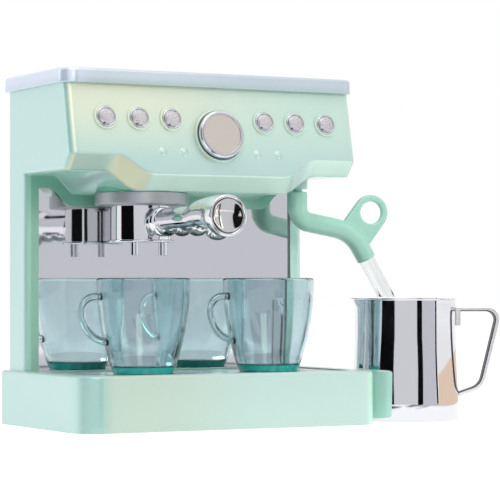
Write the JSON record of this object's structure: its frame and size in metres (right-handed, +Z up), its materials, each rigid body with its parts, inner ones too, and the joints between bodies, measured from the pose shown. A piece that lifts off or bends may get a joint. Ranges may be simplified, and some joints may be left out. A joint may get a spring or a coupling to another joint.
{
  "type": "toy coffee maker",
  "caption": "Pretend-play espresso machine with press buttons, turning dial, swinging portafilter and steam arm, slotted drip tray, cups and a milk jug.",
  "frame": {"origin": "middle of the base's resting face", "axes": "+Z up, +Y to the machine's back, +X to the side with the steam arm and the jug"},
  "size_m": [0.1808, 0.1081, 0.1286],
  "materials": {
    "mint_shell": "pearly mint moulding, smooth satin gloss",
    "lilac_cover": "pale lilac-blue moulding, satin gloss",
    "grey_collar": "lilac-grey moulding, satin gloss",
    "mirror_foil": "grey mirror-like plastic sheet",
    "silver_trim": "silver-grey painted plastic, satin",
    "chrome_plating": "plated plastic, bright and smooth",
    "tinted_clear": "blue-green tinted clear plastic, glossy",
    "clear_tube": "colourless clear plastic, glossy",
    "inner_plastic": "grey moulding, never seen from outside",
    "steel": "zinc-plated small hardware"
  },
  "bodies": {
    "machine": {"housing": "mint_shell", "back_cover": "mint_shell", "top_cover": "lilac_cover", "mirror_panel": "mirror_foil", "base_shell": "mint_shell", "base_plate": "mint_shell", "drip_tray": "silver_trim", "control_plate": "inner_plastic", "button_rings": "chrome_plating", "spring_1": "steel", "spring_2": "steel", "spring_3": "steel", "spring_4": "steel", "spring_5": "steel", "spring_6": "steel", "group_collar": "grey_collar", "base_screws": "steel", "frame_screws": "steel", "back_screws": "steel", "cover_screws": "steel", "collar_screws": "steel", "control_screws": "steel"},
    "dial": {"dial_knob": "chrome_plating", "dial_face": "silver_trim", "dial_clip": "steel"},
    "portafilter": {"portafilter_body": "chrome_plating", "portafilter_spouts": "chrome_plating", "portafilter_handle": "chrome_plating", "handle_cap": "silver_trim"},
    "arm": {"steam_arm": "mint_shell", "steam_tube": "clear_tube", "arm_washer": "steel", "arm_screw": "steel"},
    "left_cup": {"cup_left": "tinted_clear"},
    "right_cup": {"cup_right": "tinted_clear"},
    "jug": {"milk_jug": "chrome_plating", "jug_handle": "chrome_plating"},
    "cap_1": {"button_1": "silver_trim"},
    "cap_2": {"button_2": "silver_trim"},
    "cap_3": {"button_3": "silver_trim"},
    "cap_4": {"button_4": "silver_trim"},
    "cap_5": {"button_5": "silver_trim"},
    "cap_6": {"button_6": "silver_trim"}
  },
  "joints": [
    {"name": "button_1_press", "type": "slide", "parent": "machine", "child": "cap_1", "axis": [0, 0.9781, -0.2079], "range_m": [0, 0.001], "stiffness_N_per_m": 150, "springref_m": -0.002, "deforming": ["spring_1"]},
    {"name": "button_2_press", "type": "slide", "parent": "machine", "child": "cap_2", "axis": [0, 0.9781, -0.2079], "range_m": [0, 0.001], "stiffness_N_per_m": 150, "springref_m": -0.002, "deforming": ["spring_2"]},
    {"name": "button_3_press", "type": "slide", "parent": "machine", "child": "cap_3", "axis": [0, 0.9781, -0.2079], "range_m": [0, 0.001], "stiffness_N_per_m": 150, "springref_m": -0.002, "deforming": ["spring_3"]},
    {"name": "button_4_press", "type": "slide", "parent": "machine", "child": "cap_4", "axis": [0, 0.9781, -0.2079], "range_m": [0, 0.001], "stiffness_N_per_m": 150, "springref_m": -0.002, "deforming": ["spring_4"]},
    {"name": "button_5_press", "type": "slide", "parent": "machine", "child": "cap_5", "axis": [0, 0.9781, -0.2079], "range_m": [0, 0.001], "stiffness_N_per_m": 150, "springref_m": -0.002, "deforming": ["spring_5"]},
    {"name": "button_6_press", "type": "slide", "parent": "machine", "child": "cap_6", "axis": [0, 0.9781, -0.2079], "range_m": [0, 0.001], "stiffness_N_per_m": 150, "springref_m": -0.002, "deforming": ["spring_6"]},
    {"name": "dial_turn", "type": "hinge", "parent": "machine", "child": "dial", "pos_m": [0.0009, -0.02191, 0.1055], "axis": [0, -0.9781, 0.2079], "continuous": true},
    {"name": "portafilter_swing", "type": "hinge", "parent": "machine", "child": "portafilter", "pos_m": [-0.0206, -0.002, 0.08], "axis": [0, 0, 1], "range_deg": [-45, 0]},
    {"name": "steam_arm_swing", "type": "hinge", "parent": "machine", "child": "arm", "pos_m": [0.0486, 0.004, 0.09], "axis": [0, 0, 1], "range_deg": [-70, 40]},
    {"name": "left_cup_slide", "type": "slide", "parent": "machine", "child": "left_cup", "axis": [0, -0.9962, 0.0872], "range_m": [0, 0.08]},
    {"name": "right_cup_slide", "type": "slide", "parent": "machine", "child": "right_cup", "axis": [0, -0.9962, 0.0872], "range_m": [0, 0.08]},
    {"name": "jug_slide", "type": "slide", "parent": "machine", "child": "jug", "axis": [1, 0, 0], "range_m": [0, 0.08]}
  ]
}
